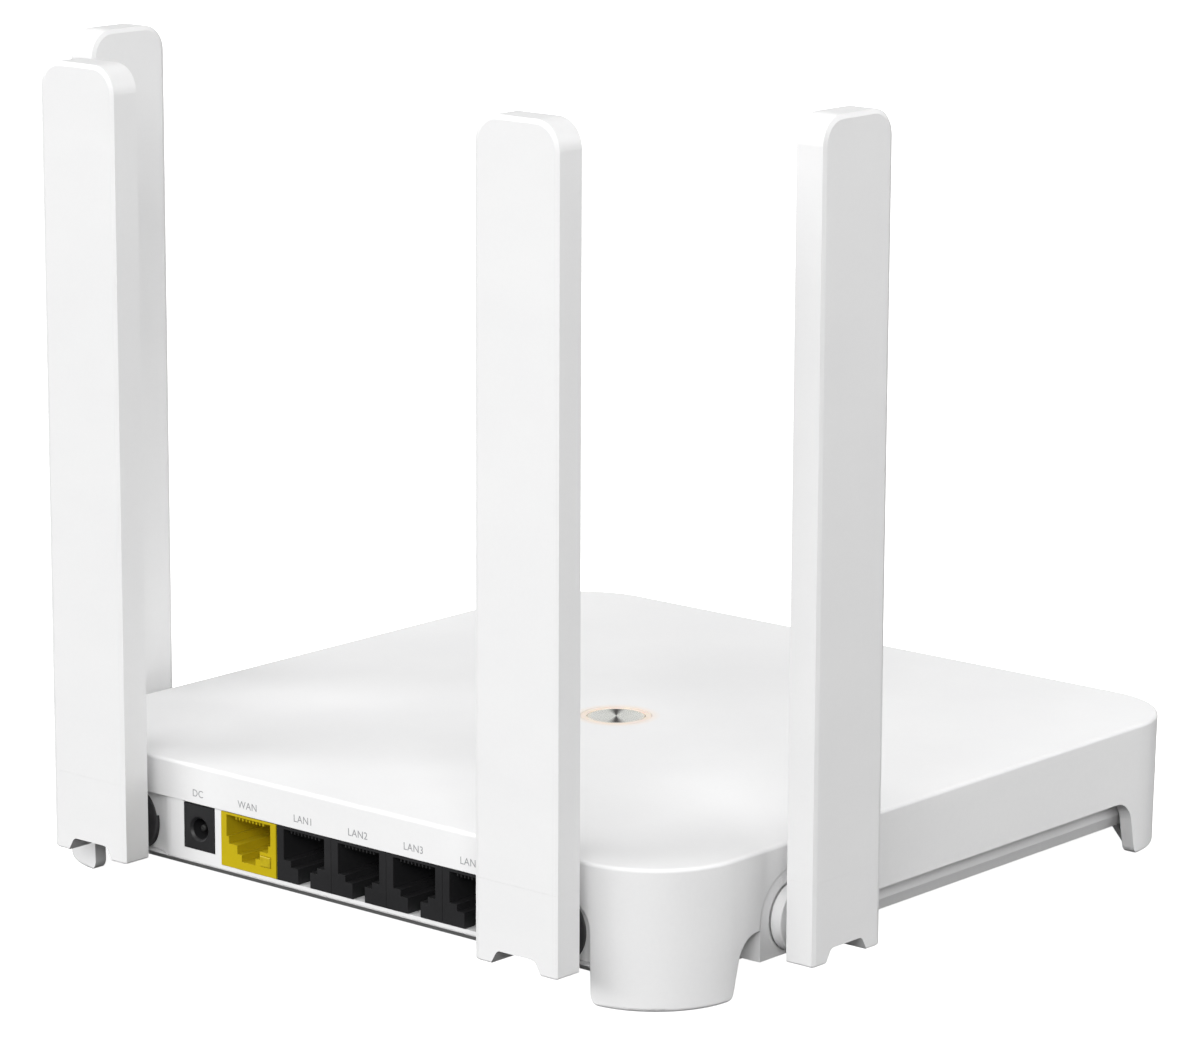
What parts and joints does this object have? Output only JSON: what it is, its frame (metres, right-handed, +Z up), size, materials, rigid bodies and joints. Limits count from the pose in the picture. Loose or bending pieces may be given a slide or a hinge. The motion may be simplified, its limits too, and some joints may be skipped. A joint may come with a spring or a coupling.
{
  "type": "wifi router",
  "caption": "Flat square white wifi router on corner legs, with hinged and swivelling blade antennas, a socket wall at the rear and a round top button.",
  "frame": {"origin": "centre of the square body, on the surface that the rubber pads stand on", "axes": "+Z up, +Y towards the socket wall at the rear, -Y the front, +X to the right seen from the front looking to the rear"},
  "size_m": [0.2142, 0.1972, 0.1824],
  "materials": {
    "white_shell": "fine satin moulded white",
    "white_antenna": "smooth satin white",
    "hub_dark": "dark grey acetal",
    "yellow_socket": "satin moulded yellow",
    "yellow_lens": "translucent yellow",
    "black_socket": "satin moulded black",
    "contact_metal": "gold plated",
    "pin_metal": "plain nickel",
    "board_green": "solder mask",
    "chip_black": "moulded epoxy",
    "capacitor_sleeve": "shrink sleeve",
    "shield_steel": "tinned sheet",
    "heat_sink_aluminium": "clear anodised",
    "light_guide": "frosted translucent, glows amber",
    "led_white": "clear epoxy",
    "button_metal": "spun metal",
    "screw_steel": "zinc plated",
    "rubber_pad": "matt",
    "label_paper": "blank film",
    "lead_jacket": "extruded sheath"
  },
  "bodies": {
    "housing": {"top_cover": "white_shell", "bottom_cover": "white_shell", "rear_panel": "white_shell", "foot_pads": "rubber_pad", "rating_label": "label_paper", "cover_screws": "screw_steel", "wan_socket": "yellow_socket", "lan_socket_1": "black_socket", "lan_socket_2": "black_socket", "lan_socket_3": "black_socket", "lan_socket_4": "black_socket", "wan_light_lens": "yellow_lens", "socket_contacts": "contact_metal", "dc_jack": "black_socket", "dc_jack_pin": "pin_metal", "main_board": "board_green", "board_screws": "screw_steel", "processor": "chip_black", "radio_chips": "chip_black", "transformers": "chip_black", "capacitors": "capacitor_sleeve", "coax_connectors": "contact_metal", "radio_shield": "shield_steel", "heat_sink": "heat_sink_aluminium", "light_ring": "light_guide", "ring_lights": "led_white", "button_switch": "chip_black", "rear_right_lead": "lead_jacket", "rear_left_lead": "lead_jacket", "side_right_lead": "lead_jacket", "side_left_lead": "lead_jacket"},
    "top_button": {"top_button": "button_metal"},
    "rear_right_hub": {"rear_right_hub": "hub_dark", "rear_right_retainer": "chip_black"},
    "rear_right_antenna": {"rear_right_hinge_pin": "screw_steel", "rear_right_foot": "white_antenna", "rear_right_sleeve": "white_antenna", "rear_right_element": "board_green", "rear_right_radiator": "contact_metal"},
    "rear_left_hub": {"rear_left_hub": "hub_dark", "rear_left_retainer": "chip_black"},
    "rear_left_antenna": {"rear_left_hinge_pin": "screw_steel", "rear_left_foot": "white_antenna", "rear_left_sleeve": "white_antenna", "rear_left_element": "board_green", "rear_left_radiator": "contact_metal"},
    "side_right_hub": {"side_right_hub": "white_shell", "side_right_retainer": "chip_black"},
    "side_right_antenna": {"side_right_hinge_pin": "screw_steel", "side_right_foot": "white_antenna", "side_right_sleeve": "white_antenna", "side_right_element": "board_green", "side_right_radiator": "contact_metal"},
    "side_left_hub": {"side_left_hub": "white_shell", "side_left_retainer": "chip_black"},
    "side_left_antenna": {"side_left_hinge_pin": "screw_steel", "side_left_foot": "white_antenna", "side_left_sleeve": "white_antenna", "side_left_element": "board_green", "side_left_radiator": "contact_metal"}
  },
  "joints": [
    {"name": "top_button_press", "type": "slide", "parent": "housing", "child": "top_button", "axis": [0, 0, -1], "range_m": [0, 0.0005], "stiffness_N_per_m": 2500},
    {"name": "rear_right_swivel", "type": "hinge", "parent": "housing", "child": "rear_right_hub", "pos_m": [0.0623, 0.0907, 0.0145], "axis": [0, 1, 0], "range_deg": [-15, 90]},
    {"name": "rear_right_tilt", "type": "hinge", "parent": "rear_right_hub", "child": "rear_right_antenna", "pos_m": [0.0623, 0.1002, 0.0145], "axis": [-1, 0, 0], "range_deg": [0, 90]},
    {"name": "rear_left_swivel", "type": "hinge", "parent": "housing", "child": "rear_left_hub", "pos_m": [-0.0623, 0.0907, 0.0145], "axis": [0, -1, 0], "range_deg": [-15, 90]},
    {"name": "rear_left_tilt", "type": "hinge", "parent": "rear_left_hub", "child": "rear_left_antenna", "pos_m": [-0.0623, 0.1002, 0.0145], "axis": [-1, 0, 0], "range_deg": [0, 90]},
    {"name": "side_right_swivel", "type": "hinge", "parent": "housing", "child": "side_right_hub", "pos_m": [0.0927, 0.0525, 0.0145], "axis": [1, 0, 0], "range_deg": [-15, 90]},
    {"name": "side_right_tilt", "type": "hinge", "parent": "side_right_hub", "child": "side_right_antenna", "pos_m": [0.1033, 0.0525, 0.0145], "axis": [0, 1, 0], "range_deg": [0, 90]},
    {"name": "side_left_swivel", "type": "hinge", "parent": "housing", "child": "side_left_hub", "pos_m": [-0.0927, 0.0525, 0.0145], "axis": [1, 0, 0], "range_deg": [-15, 90]},
    {"name": "side_left_tilt", "type": "hinge", "parent": "side_left_hub", "child": "side_left_antenna", "pos_m": [-0.1033, 0.0525, 0.0145], "axis": [0, -1, 0], "range_deg": [0, 90]}
  ]
}
